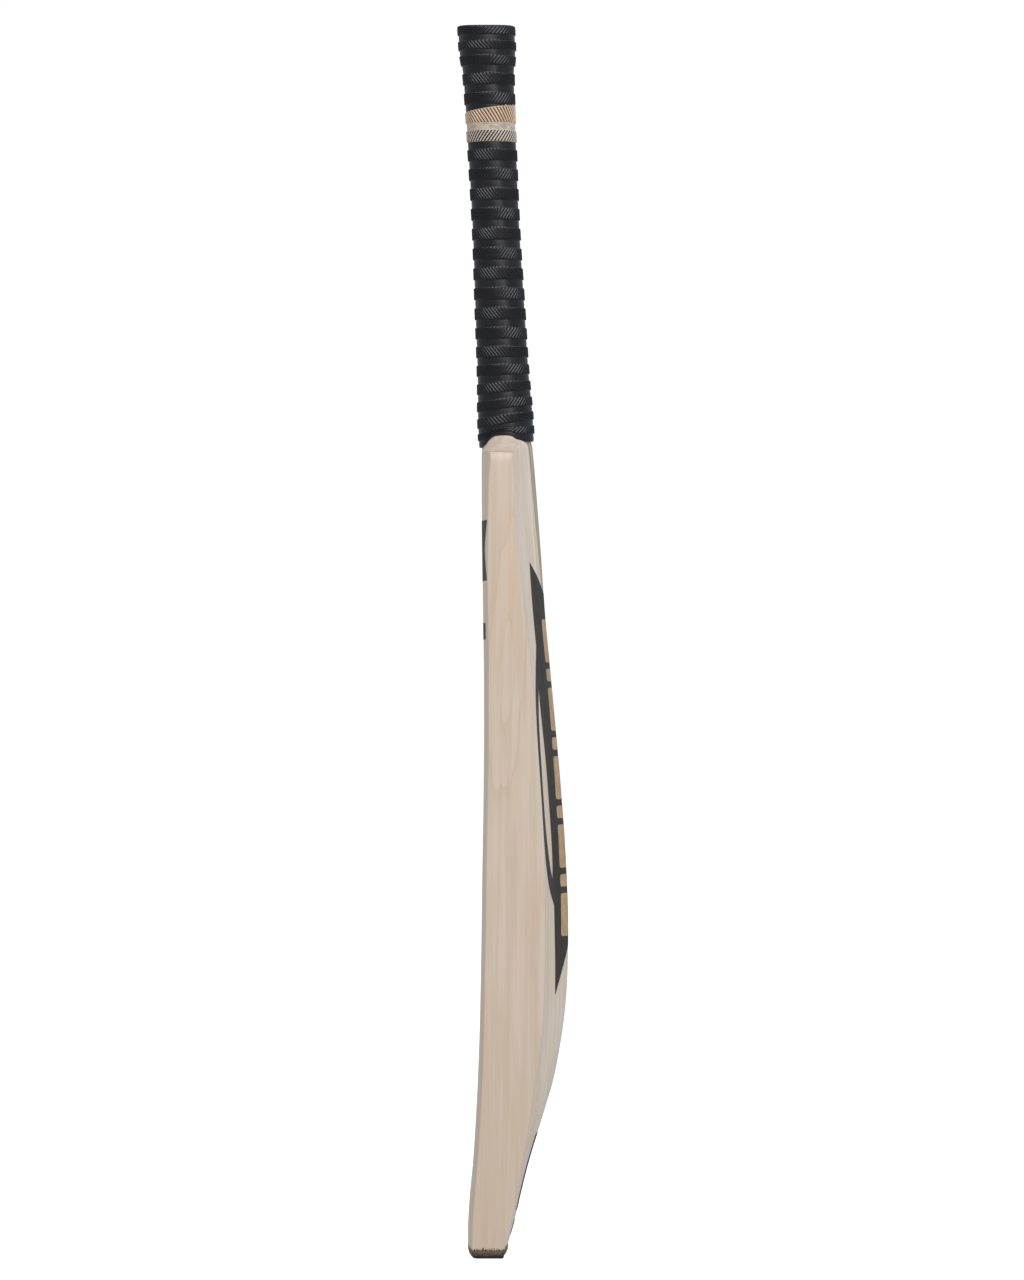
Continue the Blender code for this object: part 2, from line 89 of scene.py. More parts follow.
# ---- handle and grip ----
HANDLE_LEAN = 0.0489
HANDLE_AXIS_HEIGHT = 610.0
HANDLE_AXIS_Y = 9.8
HANDLE_OVAL = 0.95
HANDLE_TOP = 848.0
NECK_RADIUS = 16.9
SPLICE_BOTTOM = 395.0
SPLICE_HALF_TIP = 1.0
SPLICE_HALF_TOP = 14.2
CANE_SPLIT_X = 4.9
SLAB_EDGE_Y = 7.5 + 0.75 + 0.3     # where the outer slabs of cane meet the outer inserts
SHAFT_BOTTOM = BLADE_TOP + 0.3
SHAFT_HEIGHTS = (SHAFT_BOTTOM, 580, 605, 640, 680, 720, 770, 806, 819, 830, HANDLE_TOP)
SHAFT_SIDES = 96
SHAFT_INSET = 2.7                  # the grip's wall, the binding and the gaps under them
WEDGE_REACH = (-41, 81)            # how far front and back the wedge that cuts the splice runs
CANE_CUT_BOTTOM = 390.0
GLUE = 0.08                        # width of a glue line

GRIP_TOP = 850.3
GRIP_WALL = 1.4
GRIP_RIM_HOLE = 11.0
GRIP_TOP_ROUND = 1.5
GRIP_TOP_SAG = 0.85                # the rim's top sits this much lower over the two edges of the bat
GRIP_RADII = [(557, 19.0), (579, 18.9), (604, 17.8), (656, 16.95), (705, 16.15), (767, 16.6), (806, 17.2),
              (819, 17.7), (830, 19.1), (851, 19.4)]
GRIP_BANDS = 23
# (band from the top, height of its middle)
BAND_HEIGHTS = [(0, 846.6), (1, 836.0), (2, 825.6), (4, 799.2), (7, 760.2), (12, 691.8), (17, 623.8),
                (20, 587.9), (22, 566.5)]
BAND_SHARE = 0.62
BAND_TILT = 0.17                   # near the rim the bands climb towards the spine side
BAND_TILT_TOP = 625.0
BAND_LIFT = 0.35                   # how far a band's grooves stand over the smooth rings
RIB_HEIGHT = 0.55
RIBS = 46
# (phase, share of the height) across one rib
RIB_PROFILE = [(0.0, 0.0), (0.17, 0.12), (0.33, 0.75), (0.5, 1.0), (0.67, 0.75), (0.83, 0.12)]
RIB_SLANT = math.radians(38)
RIB_SLANT_RADIUS = 18.0            # the radius at which the ribs have that slant
RING_CROWN = 0.1                   # how much a smooth ring between two bands is rounded out
RING_SHARES = (0.12, 0.5, 0.88)
# (distance into a band from its lower edge, or minus that from its upper edge, share of its lift);
# None stands for the two points between them
BAND_PROFILE = [(0, 0.0), (0.3, 0.75), (0.8, 1.0), (None, 1.0), (-0.8, 1.0), (-0.3, 0.75), (0, 0.0)]
BAND_MIDDLE_SHARES = (0.33, 0.67)
RIM_LOW = 557.4                    # the grip's lower rim where nothing pushes it up
RIM_RISE = 0.12                    # how much it climbs towards the spine side
RIM_STRETCH_TOP = 573.0            # above this the shoulder doesn't bend the grip
TAN_TOP = 792.6                    # the tan section's slanting top edge, on the bat's middle plane
TAN_SLANT = 0.15                   # how much that edge climbs towards the spine side
TAN_BAND = 5                       # the band with that top edge; the next band down is tan too
# (radius, depth) of the two shallow grooves in the grip's top, and of the roll into its hole
TOP_RINGS = [(16.6, 0.0), (16.2, 0.25), (15.6, 0.3), (15.2, 0.0), (14.0, 0.0), (13.6, 0.25),
             (13.0, 0.3), (12.6, 0.0), (11.6, 0.0), (11.15, 0.15), (11.0, 0.55), (11.0, 1.4)]
TOP_ROUND_ANGLES = (10, 28, 46, 64, 82, 90)
BORE_HEIGHTS = (830, 819, 806, 770, 720, 680, 640, 605, 590, 580, RIM_STRETCH_TOP, 565, RIM_LOW + 0.6)
RIM_RADIUS_HEIGHT = 562            # where the radius that the shoulder pushes on is taken
RIM_SMOOTHING = 9                  # degrees over which the rim's height is evened out

# ---- decals: (x, z) stretches of the +X half of each outline ----
DECAL_GAP = 0.05
DECAL_THICKNESS = 0.12
GOLD_LIFT = DECAL_GAP + DECAL_THICKNESS + 0.02
GOLD_THICKNESS = 0.05
DECAL_EDGE_GAP = 1.7               # how far a decal's skin stops short of the blade's edge
SKIN_STEP = 2.5                    # height between two rows of that skin
PRISM_REACH = (-30, 90)            # how far front and back the shapes that cut the decals run
CURVE_STEPS = 8                    # points between two given points of an outline
PANEL_HALF = [[(0, 456), (28.5, 478)], [(28.5, 478), (29.5, 461), (30, 420)],
              [(30, 420), (38, 402), (45, 385), (49, 362), (50.5, 335), (50, 300), (46, 276), (36, 256),
               (22.5, 241)], [(22.5, 241), (21.5, 210), (21.5, 179)], [(21.5, 179), (0, 213)]]
SLIT = [[(34, 392), (33, 375), (28.5, 339), (26, 305), (24, 275), (25, 259)],
        [(25, 259), (33, 273), (41, 300), (42.5, 335), (40.5, 368), (34, 392)]]
TOE_PANEL_HALF = [[(0, 83), (22, 83)], [(22, 83), (22, 30)], [(22, 30), (0, 30)]]
TOE_STRIPE_HALF = [[(0, 23), (22, 23)], [(22, 23), (22, 13)], [(22, 13), (0, 13)]]
FACE_PANEL_HALF = [[(0, 506.5), (52, 506.5)], [(52, 506.5), (44, 496), (38.6, 486), (44, 476), (52, 465)],
                   [(52, 465), (0, 465)]]
FACE_BAR_HALF = [[(0, 436), (38, 436)], [(38, 436), (38, 424.6)], [(38, 424.6), (0, 424.6)]]
GOLD_TOP = 438.5
GOLD_LONG = 29.8
GOLD_SHORT = 8.6
GOLD_SPACE = 4.5
GOLD_BARS = 9
GOLD_HALF = 12.5
GOLD_CORNER = 1.5

# toe guard: (height, inset of the face side, inset of the back side, inset of the ends)
GUARD_STEPS = [(0.0, 3.4, 1.9, 4.0), (0.5, 1.5, 0.9, 2.2), (1.5, 0.5, 0.4, 1.0), (3.2, 0.1, 0.1, 0.3),
               (5.75, 0.0, 0.0, 0.0)]
GUARD_HEIGHTS = [0.0, 0.12, 0.3, 0.5, 0.8, *np.linspace(1.1, 5.7, 14)]
GUARD_ROUGHNESS = (-0.07, 0.05)    # how far a point of its sides lies in or out
GUARD_SEED = 7


# ---- curves and surfaces ----

def curve_through(points, at):
    """A smooth curve through (height, value) points, read at any number of heights."""
    heights, values = (np.array(column, float) for column in zip(*points))
    at = np.clip(np.asarray(at, float), heights[0], heights[-1])
    i = np.clip(np.searchsorted(heights, at) - 1, 0, len(points) - 2)
    slopes = np.gradient(values, heights)
    span = heights[i + 1] - heights[i]
    t = (at - heights[i]) / span
    return ((2 * t**3 - 3 * t**2 + 1) * values[i] + (t**3 - 2 * t**2 + t) * span * slopes[i]
            + (3 * t**2 - 2 * t**3) * values[i + 1] + (t**3 - t**2) * span * slopes[i + 1])


def shoulder_share(z):
    """0 up to the crease, then up to 1 where the shoulder has become the neck."""
    return np.clip((z - SHOULDER_CREASE) / (BLADE_TOP - SHOULDER_CREASE), 0, 1)


def half_width(z):
    if z > SHOULDER_CREASE:
        corner = HALF_WIDTH - SHOULDER_CORNER_WIDTH
        return corner - (corner - NECK_RADIUS * HANDLE_OVAL) * shoulder_share(z) ** SHOULDER_SCOOP
    corner = np.clip((z - SHOULDER_CORNER_START) / (SHOULDER_CREASE - SHOULDER_CORNER_START), 0, 1)
    toe = np.clip(1 - z / TOE_TAPER_HEIGHT, 0, 1)
    return HALF_WIDTH - SHOULDER_CORNER_WIDTH * (1 - np.sqrt(1 - corner**2)) - TOE_TAPER * toe**2


def axis_y(z):
    return HANDLE_AXIS_Y - HANDLE_LEAN * (z - HANDLE_AXIS_HEIGHT)


def grip_radius(z):
    return curve_through(GRIP_RADII, z)


def face_y(x, z):
    crown = curve_through(FACE_FALL, z) - CORNER_DEPTH
    return curve_through(FACE_LINE, z) + crown * (x / HALF_WIDTH) ** 2


def back_y(x, z):
    """The back: a rounded spine between two creases, then a slightly hollow band out to each edge."""
    x = np.abs(x)
    crease = curve_through(CREASE_X, z)
    spine = curve_through(SPINE_LINE, z)
    rise = curve_through(SPINE_RISE, z)
    edge = curve_through(EDGE_BACK_LINE, z)
    fall = spine - rise - edge
    reach = HALF_WIDTH - crease
    t = (HALF_WIDTH - x) / reach
    band = edge + fall * t - BAND_SAG * 4 * t * (1 - t)
    y = np.where(x < crease, spine - rise * (x / crease) ** RIDGE_POWER, band)
    slope_change = -(fall + 4 * BAND_SAG) / reach + RIDGE_POWER * rise / crease
    away = np.abs(x - crease)
    return y + slope_change / 2 * (np.sqrt(away**2 + CREASE_SOFTNESS**2) - away)


def section(z):
    """Half of the level section at one height, from the middle of the face round the +X edge to the
    spine. The third column says how far along each point is: the face ends at 4, the front corner at 7,
    the edge at 8.9, the back corner at 9.1, the back's band at 12 and the spine at 16."""
    width = half_width(z)
    flat = width - CORNER_WIDTH
    face_x = np.linspace(0, flat, 37)
    parts = [(face_x, face_y(face_x, z), 4 * face_x / flat)]
    angle = np.radians(np.arange(15, 91, 15))
    front = face_y(flat, z)
    parts.append((flat + CORNER_WIDTH * np.sin(angle), front + CORNER_DEPTH * (1 - np.cos(angle)),
                  4 + angle * 6 / math.pi))
    low = front + CORNER_DEPTH
    high = back_y(width, z)
    edge = np.linspace(0, 1, 14)[1:]
    parts.append((np.full(13, width), low + (high - BACK_CORNER - low) * edge, 7 + 1.9 * edge))
    t = np.array([0.25, 0.5, 0.75, 1.0])
    end_x = width - BACK_CORNER
    parts.append((width - BACK_CORNER * t**2,
                  (1 - t)**2 * (high - BACK_CORNER) + 2 * t * (1 - t) * high + t**2 * back_y(end_x, z),
                  8.9 + 0.2 * t))
    crease = curve_through(CREASE_X, z)
    near = min(3.0, (end_x - crease) / 3)
    band_x = np.concatenate([np.linspace(end_x, crease + near, 22)[1:],
                             crease + near * np.array([0.67, 0.33, 0.13])])
    parts.append((band_x, back_y(band_x, z), 9 + 3 * (width - band_x) / (width - crease)))
    spine_x = np.concatenate([crease - np.array([0.4, 1, 2]), np.linspace(crease - 3, 0, 20)])
    parts.append((spine_x, back_y(spine_x, z), 12 + 4 * (crease - spine_x) / crease))
    return np.column_stack([np.concatenate(column) for column in zip(*parts)])


def smooth_step(t):
    t = np.clip(t, 0, 1)
    return t * t * (3 - 2 * t)


def form_section(z):
    """The blade's section, which narrows to a pointed oval over the shoulder and then to the oval neck."""
    points = section(min(z, BLADE_TOP))
    share = shoulder_share(z)
    if share > 0:
        late = smooth_step((share - NECK_BLEND) / (1 - NECK_BLEND))
        power = 2 / (SHOULDER_POINT + (2 - SHOULDER_POINT) * late)
        centre = SHOULDER_PEAK_Y + (axis_y(z) - SHOULDER_PEAK_Y) * late
        angle = math.pi * (points[:, 2] / SECTION_END - 0.5)
        reach = axis_y(z) - centre + NECK_RADIUS * np.sign(angle)
        oval = np.column_stack([half_width(z) * np.abs(np.cos(angle)) ** power,
                                centre + reach * np.abs(np.sin(angle)) ** power])
        lag = BACK_LAG * smooth_step((points[:, 2] - BACK_LAG_START) / BACK_LAG_SPAN)
        blend = smooth_step((share - lag) / SHOULDER_BLEND)
        points[:, :2] += (oval - points[:, :2]) * blend[:, None]
    return points[:, :2]


def whole_ring(half, z):
    """A half section and its mirror image, as one closed ring of 3-D points."""
    other = half[-2:0:-1] * (-1, 1)
    ring = np.vstack([half, other])
    return np.column_stack([ring, np.full(len(ring), z)])


def form_rows(heights):
    return np.array([whole_ring(form_section(z), z) for z in heights])


# ---- mesh helpers ----

def ring_mesh(name, rows, joined=False):
    """A skin over closed rings of points (rings x points x 3, in mm): capped, or joined end to end."""
    count, around = rows.shape[:2]
    i, j = np.meshgrid(np.arange(count if joined else count - 1), np.arange(around), indexing="ij")
    up = (i + 1) % count
    on = (j + 1) % around
    corners = (i * around + j, i * around + on, up * around + on, up * around + j)
    faces = np.stack(corners, -1).reshape(-1, 4).tolist()
    if not joined:
        faces.append(list(range(around))[::-1])
        faces.append(list(range((count - 1) * around, count * around)))
    mesh = bpy.data.meshes.new(name)
    mesh.from_pydata((rows.reshape(-1, 3) * MM).tolist(), [], faces)
    return mesh


def sheet_mesh(name, points):
    """An open skin over a grid of points (rows x columns x 3, in mm)."""
    count, across = points.shape[:2]
    i, j = np.meshgrid(np.arange(count - 1), np.arange(across - 1), indexing="ij")
    corners = (i * across + j, i * across + j + 1, (i + 1) * across + j + 1, (i + 1) * across + j)
    faces = np.stack(corners, -1).reshape(-1, 4).tolist()
    mesh = bpy.data.meshes.new(name)
    mesh.from_pydata((points.reshape(-1, 3) * MM).tolist(), [], faces)
    return mesh


def prism_mesh(name, outline, low, high):
    """An outline in X and Z, pushed through the bat from y = low to y = high (all in mm)."""
    count = len(outline)
    points = [(x * MM, y * MM, z * MM) for y in (low, high) for x, z in outline]
    sides = [(i, (i + 1) % count, count + (i + 1) % count, count + i) for i in range(count)]
    area = sum(a[0] * b[1] - b[0] * a[1] for a, b in zip(outline, outline[1:] + outline[:1]))
    faces = [tuple(range(count)), tuple(range(2 * count - 1, count - 1, -1))] + [s[::-1] for s in sides]
    if area < 0:
        faces = [face[::-1] for face in faces]
    mesh = bpy.data.meshes.new(name)
    mesh.from_pydata(points, [], faces)
    return mesh


def show(name, mesh):
    obj = bpy.data.objects.new(name, mesh)
    bpy.context.scene.collection.objects.link(obj)
    return obj


def settle(obj):
    """Replaces an object's mesh with what its modifiers make of it."""
    made = obj.evaluated_get(bpy.context.evaluated_depsgraph_get())
    mesh = bpy.data.meshes.new_from_object(made)
    obj.modifiers.clear()
    obj.data = mesh


def combine(obj, operation, other_mesh, keep=None):
    """Cuts, joins or intersects an object with a second mesh."""
    other = keep or show("tool", other_mesh)
    modifier = obj.modifiers.new("combine", "BOOLEAN")
    modifier.operation = operation
    modifier.solver = "EXACT"
    modifier.object = other
    settle(obj)
    if not keep:
        bpy.data.objects.remove(other, do_unlink=True)


def finished_piece(obj, look, node=None, crisp=35.0):
    """Gives a piece its material and its body, and hides the CAD node that it stands for."""
    obj.data.materials.clear()
    obj.data.materials.append(look)
    obj.data.shade_smooth()
    obj.data.set_sharp_from_angle(angle=math.radians(crisp))
    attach(obj, "root")
    if node:
        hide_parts(node)
    return obj


# ---- blade ----

def blade_heights():
    straight = np.linspace(BLADE_BOTTOM, SHOULDER_CORNER_START, BLADE_LEVELS)
    turn = np.radians(np.linspace(0, 90, CORNER_LEVELS + 1)[1:])
    corner = SHOULDER_CORNER_START + (SHOULDER_CREASE - SHOULDER_CORNER_START) * np.sin(turn)
    share = np.linspace(0, 1, SCOOP_LEVELS + 1)[1:]
    scoop = SHOULDER_CREASE + (BLADE_TOP - SHOULDER_CREASE) * share ** (1 / SHOULDER_SCOOP)
    return np.concatenate([straight, corner, scoop])


def splice_wedge(grow):
    """The V of the splice, right through the bat, and grown sideways by a small distance."""
    slope = (SPLICE_HALF_TOP - SPLICE_HALF_TIP) / (SHAFT_BOTTOM - SPLICE_BOTTOM)
    top = SHAFT_BOTTOM + 1.0
    low = SPLICE_HALF_TIP + grow
    high = SPLICE_HALF_TOP + grow + slope
    outline = [(-low, SPLICE_BOTTOM - grow), (low, SPLICE_BOTTOM - grow), (high, top), (-high, top)]
    return prism_mesh("splice_wedge", outline, *WEDGE_REACH)


def build_blade(look):
    blade = show("willow_blade", ring_mesh("willow_blade", form_rows(blade_heights())))
    combine(blade, "DIFFERENCE", splice_wedge(GLUE))
    return finished_piece(blade, look, "blade")


# ---- cane strips that show at the splice ----

def lean_point(x, y, z):
    return (x * MM, (y + axis_y(z)) * MM, z * MM)


def shaft_rows():
    angle = np.linspace(0, 2 * math.pi, SHAFT_SIDES + 1)[:-1]
    rows = []
    for z in SHAFT_HEIGHTS:
        radius = grip_radius(z) - SHAFT_INSET
        rows.append(np.column_stack([radius * HANDLE_OVAL * np.cos(angle),
                                     axis_y(z) + radius * np.sin(angle), np.full(SHAFT_SIDES, z)]))
    return np.array(rows)


def handle_form():
    """The wedge of the splice, flush with the blade, and the shaft above it, in one piece."""
    heights = [z for z in blade_heights() if z > CANE_CUT_BOTTOM - 5] + [SHAFT_BOTTOM + 0.3]
    form = show("handle_form", ring_mesh("handle_form", form_rows(heights)))
    combine(form, "INTERSECT", splice_wedge(0.0))
    combine(form, "UNION", ring_mesh("shaft", shaft_rows()))
    return form


def cell_mesh(x_range, y_range):
    """A box that follows the handle's lean."""
    heights = (CANE_CUT_BOTTOM, HANDLE_TOP + 5)
    corners = [lean_point(x, y, z) for z in heights for y in y_range for x in x_range]
    faces = [(0, 2, 3, 1), (4, 5, 7, 6), (0, 1, 5, 4), (2, 6, 7, 3), (0, 4, 6, 2), (1, 3, 7, 5)]
    mesh = bpy.data.meshes.new("cell")
    mesh.from_pydata(corners, [], faces)
    return mesh


def build_cane(look):
    form = handle_form()
    reach = 60.0
    slabs = {"front": (-reach, -SLAB_EDGE_Y), "back": (SLAB_EDGE_Y, reach)}
    half_glue = GLUE / 2
    columns = {"left": (-reach, -CANE_SPLIT_X - half_glue),
               "centre": (-CANE_SPLIT_X + half_glue, CANE_SPLIT_X - half_glue),
               "right": (CANE_SPLIT_X + half_glue, reach)}
    for slab, y_range in slabs.items():
        for column, x_range in columns.items():
            strip = show(f"cane_strip_{slab}_{column}", cell_mesh(x_range, y_range))
            combine(strip, "INTERSECT", None, keep=form)
            finished_piece(strip, look, f"cane_{slab}_{column}")
    bpy.data.objects.remove(form, do_unlink=True)


# ---- decals ----

def smooth_stretch(points):
    """Points along a Catmull-Rom curve through a stretch of an outline, without its last point."""
    points = [np.array(p, float) for p in points]
    if len(points) == 2:
        return [tuple(points[0])]
    padded = [2 * points[0] - points[1]] + points + [2 * points[-1] - points[-2]]
    made = []
    for a, b, c, d in zip(padded, padded[1:], padded[2:], padded[3:]):
        for t in np.arange(CURVE_STEPS) / CURVE_STEPS:
            made.append(tuple(0.5 * (2 * b + (c - a) * t + (2 * a - 5 * b + 4 * c - d) * t**2
                                     + (3 * b - a - 3 * c + d) * t**3)))
    return made


def smooth_outline(stretches):
    return [point for stretch in stretches for point in smooth_stretch(stretch)]


def both_halves(half):
    """A closed outline from its +X half, which runs from the top middle to the bottom middle."""
    points = smooth_outline(half) + [tuple(float(v) for v in half[-1][-1])]
    return points + [(-x, z) for x, z in reversed(points) if x > 0]


def skin_mesh(name, surface, side, low, high, lift):
    """The blade's face or back between two heights, lifted off it by a small distance."""
    heights = np.arange(low, high + 1e-6, SKIN_STEP)
    rows = []
    for z in heights:
        crease = float(curve_through(CREASE_X, z))
        wide = HALF_WIDTH - DECAL_EDGE_GAP
        half = np.concatenate([np.linspace(0, crease - 2, 12), crease + np.array([-1, -0.3, 0.3, 1]),
                               np.linspace(crease + 2, wide, 18)])
        x = np.concatenate([-half[:0:-1], half])
        step = 0.05
        y = surface(x, z)
        slope_x = (surface(x + step, z) - surface(x - step, z)) / (2 * step)
        slope_z = (surface(x, z + step) - surface(x, z - step)) / (2 * step)
        length = np.sqrt(1 + slope_x**2 + slope_z**2)
        out = side * lift / length
        rows.append(np.column_stack([x - out * slope_x, y + out, z - out * slope_z]))
    rows = np.array(rows)
    return sheet_mesh(name, rows if side < 0 else rows[:, ::-1])


def decal(name, surface, side, low, high, outlines, look, node=None,
          lift=DECAL_GAP, thickness=DECAL_THICKNESS):
    """A thin film on the blade, cut to the first outlines and pierced by the others."""
    film = show(name, skin_mesh(name, surface, side, low, high, lift))
    solid = film.modifiers.new("thickness", "SOLIDIFY")
    solid.thickness = thickness * MM
    solid.offset = 1.0
    settle(film)
    first, *others = outlines
    combine(film, "INTERSECT", merged_prisms(first))
    for outline in others:
        combine(film, "DIFFERENCE", merged_prisms(outline))
    return finished_piece(film, look, node)


def merged_prisms(outlines):
    """Several outlines that don't touch, as one cutting mesh."""
    points = []
    faces = []
    for outline in outlines:
        mesh = prism_mesh("prism", outline, *PRISM_REACH)
        base = len(points)
        points += [tuple(v.co) for v in mesh.vertices]
        faces += [[base + i for i in face.vertices] for face in mesh.polygons]
        bpy.data.meshes.remove(mesh)
    mesh = bpy.data.meshes.new("prisms")
    mesh.from_pydata(points, [], faces)
    return mesh


def mirror_outline(outline):
    return [(-x, z) for x, z in outline]


def gold_outlines():
    """Plain bars with cut corners, in turn long and short."""
    bars = []
    top = GOLD_TOP
    for index in range(GOLD_BARS):
        low = top - (GOLD_LONG if index % 2 == 0 else GOLD_SHORT)
        side = [(0, top), (GOLD_HALF - GOLD_CORNER, top), (GOLD_HALF, top - GOLD_CORNER),
                (GOLD_HALF, low + GOLD_CORNER), (GOLD_HALF - GOLD_CORNER, low), (0, low)]
        bars.append(side + [(-x, z) for x, z in reversed(side[1:-1])])
        top = low - GOLD_SPACE
    return bars


def build_decals(charcoal, gold):
    slit = smooth_outline(SLIT)
    holes = {"back_panel": [[slit, mirror_outline(slit)]]}
    # (name, surface, the side it faces, lowest and highest row of its skin, outline)
    films = [("back_panel", back_y, 1, 170, 485, PANEL_HALF),
             ("toe_panel", back_y, 1, 25, 90, TOE_PANEL_HALF),
             ("toe_stripe", back_y, 1, 10, 30, TOE_STRIPE_HALF),
             ("face_panel", face_y, -1, 460, 515, FACE_PANEL_HALF),
             ("face_bar", face_y, -1, 420, 440, FACE_BAR_HALF)]
    for name, surface, side, low, high, half in films:
        outlines = [[both_halves(half)]] + holes.get(name, [])
        decal(f"charcoal_{name}", surface, side, low, high, outlines, charcoal, f"decal_{name}")
    decal("gold_bars", back_y, 1, 200, 445, [gold_outlines()], gold,
          lift=GOLD_LIFT, thickness=GOLD_THICKNESS)


# ---- grip ----

def band_centre(index):
    return float(curve_through(BAND_HEIGHTS, index))


def band_span(index):
    above = max(index - 1, 0)
    below = min(index + 1, GRIP_BANDS - 1)
    half = BAND_SHARE * (band_centre(above) - band_centre(below)) / (below - above) / 2
    return band_centre(index) - half, band_centre(index) + half


def outer_wall():
    """(height, radius, rib height, shear) up the outside of the grip; the shear slants the ribs."""
    wall = []
    shear = 0.0
    below = RIM_LOW
    for index in reversed(range(GRIP_BANDS)):
        low, high = band_span(index)
        for share in RING_SHARES:
            z = below + (low - below) * share
            crown = RING_CROWN * (1 - abs(2 * share - 1))
            wall.append((z, grip_radius(z) + crown, 0.0, shear))
        high = min(high, GRIP_TOP - GRIP_TOP_ROUND)
        slant = math.tan(RIB_SLANT) * (1 if index % 2 == 0 else -1)
        for rise, lift in BAND_PROFILE:
            if rise is None:
                heights = low + (high - low) * np.array(BAND_MIDDLE_SHARES)
            elif lift == 0.0:
                heights = [high if wall[-1][0] > low else low]
            else:
                heights = [low + rise if rise > 0 else high + rise]
            if index == 0 and (rise is not None and (rise < 0 or heights[0] == high)):
                continue
            for z in heights:
                wall.append((float(z), grip_radius(z) + BAND_LIFT * lift, RIB_HEIGHT * lift,
                             shear + slant * (float(z) - low)))
        shear += slant * (high - low)
        below = high
    return wall, shear


def rim_height(radius):
    """How high the shoulder pushes the grip's rim at each angle, for a wall of this radius."""
    angles = np.radians(np.linspace(-90, 90, 181))
    rim = np.full(len(angles), SHOULDER_CREASE)
    for z in np.linspace(SHOULDER_CREASE + 0.05, BLADE_TOP, 80):
        half = form_section(z)
        y = half[:, 1] - axis_y(z)
        x = half[:, 0] / HANDLE_OVAL
        form_radius = np.interp(angles, np.arctan2(y, x), np.hypot(x, y))
        rim = np.where(form_radius > radius + 0.1, z, rim)
    free = RIM_LOW + RIM_RISE * (axis_y(RIM_LOW) + radius * np.sin(angles) + 7)
    push = 0.5 * (rim + free + np.sqrt((rim - free) ** 2 + 0.8))
    evened = np.pad(push, RIM_SMOOTHING // 2, mode="edge")
    return angles, np.convolve(evened, np.ones(RIM_SMOOTHING) / RIM_SMOOTHING, mode="valid")


def grip_rows():
    """Rings of points: up the ribbed outside, over the rolled top, down the bore and round the rim."""
    phase, profile = (np.array(column) for column in zip(*RIB_PROFILE))
    column = (np.arange(RIBS)[:, None] + phase[None, :]).ravel() / RIBS * 2 * math.pi
    relief = np.tile(profile, RIBS)
    wall, shear = outer_wall()
    top_radius = float(grip_radius(GRIP_TOP)) + BAND_LIFT
    centre = GRIP_TOP - GRIP_TOP_ROUND
    for angle in np.radians(TOP_ROUND_ANGLES):
        z = centre + GRIP_TOP_ROUND * math.sin(angle)
        wall.append((z, top_radius - GRIP_TOP_ROUND * (1 - math.cos(angle)), RIB_HEIGHT * math.cos(angle),
                     shear + math.tan(RIB_SLANT) * (z - centre)))
    end_shear = wall[-1][3]
    for radius, drop in TOP_RINGS:
        wall.append((GRIP_TOP - drop, radius, 0.0, end_shear))
    bore_top = HANDLE_TOP + 0.25
    wall.append((bore_top, GRIP_RIM_HOLE, 0.0, end_shear))
    bore_start = len(wall)
    for z in (bore_top, *BORE_HEIGHTS):
        wall.append((z, grip_radius(z) - GRIP_WALL, 0.0, end_shear))
    wall.append((RIM_LOW, grip_radius(RIM_LOW) - GRIP_WALL + 0.3, 0.0, end_shear / 2))
    wall.append((RIM_LOW, grip_radius(RIM_LOW) - 0.3, 0.0, 0.0))
    rim_radius = float(grip_radius(RIM_RADIUS_HEIGHT))
    rim_outer = rim_height(rim_radius)
    rim_inner = rim_height(rim_radius - GRIP_WALL)
    tan_low, tan_high = band_span(TAN_BAND)
    ring_top = band_span(TAN_BAND - 1)[0]
    sag_start = band_span(1)[1]
    rows = []
    reliefs = []
    for index, (z, radius, rib, shear_here) in enumerate(wall):
        angle = column + shear_here / RIB_SLANT_RADIUS
        r = radius + rib * relief
        height = np.full(len(angle), z)
        if index < bore_start and tan_low < z < ring_top:
            edge = TAN_TOP + TAN_SLANT * (axis_y(z) + r * np.sin(angle))
            if z <= tan_high:
                height = tan_low + (z - tan_low) * (edge - tan_low) / (tan_high - tan_low)
            else:
                height = edge + (z - tan_high) * (ring_top - edge) / (ring_top - tan_high)
        if z < BAND_TILT_TOP:
            tilt = BAND_TILT * min((BAND_TILT_TOP - z) / (BAND_TILT_TOP - RIM_STRETCH_TOP), 1.0)
            height = z + tilt * r * np.sin(angle)
        if z < RIM_STRETCH_TOP:
            folded = np.arcsin(np.clip(np.sin(angle), -1, 1))
            rim = rim_inner if index >= bore_start and index < len(wall) - 1 else rim_outer
            low = np.interp(folded, *rim)
            top = height + RIM_STRETCH_TOP - z
            height = low + (z - RIM_LOW) * (top - low) / (RIM_STRETCH_TOP - RIM_LOW)
        if index < bore_start and z > sag_start:
            drop = GRIP_TOP_SAG * (z - sag_start) / (GRIP_TOP - sag_start)
            height = height - drop * np.cos(angle) ** 2 * (r / grip_radius(GRIP_TOP)) ** 2
        rows.append(np.column_stack([HANDLE_OVAL * r * np.cos(angle), axis_y(height) + r * np.sin(angle),
                                     height]))
        reliefs.append(relief if rib else np.ones(len(angle)))
    return np.array(rows), np.array(reliefs)


def build_grip(look):
    rows, reliefs = grip_rows()
    mesh = ring_mesh("rubber_grip", rows, joined=True)
    attribute = mesh.attributes.new("relief", "FLOAT", "POINT")
    attribute.data.foreach_set("value", reliefs.ravel().astype(np.float32))
    return finished_piece(show("rubber_grip", mesh), look, "grip", crisp=60.0)


# ---- toe guard ----

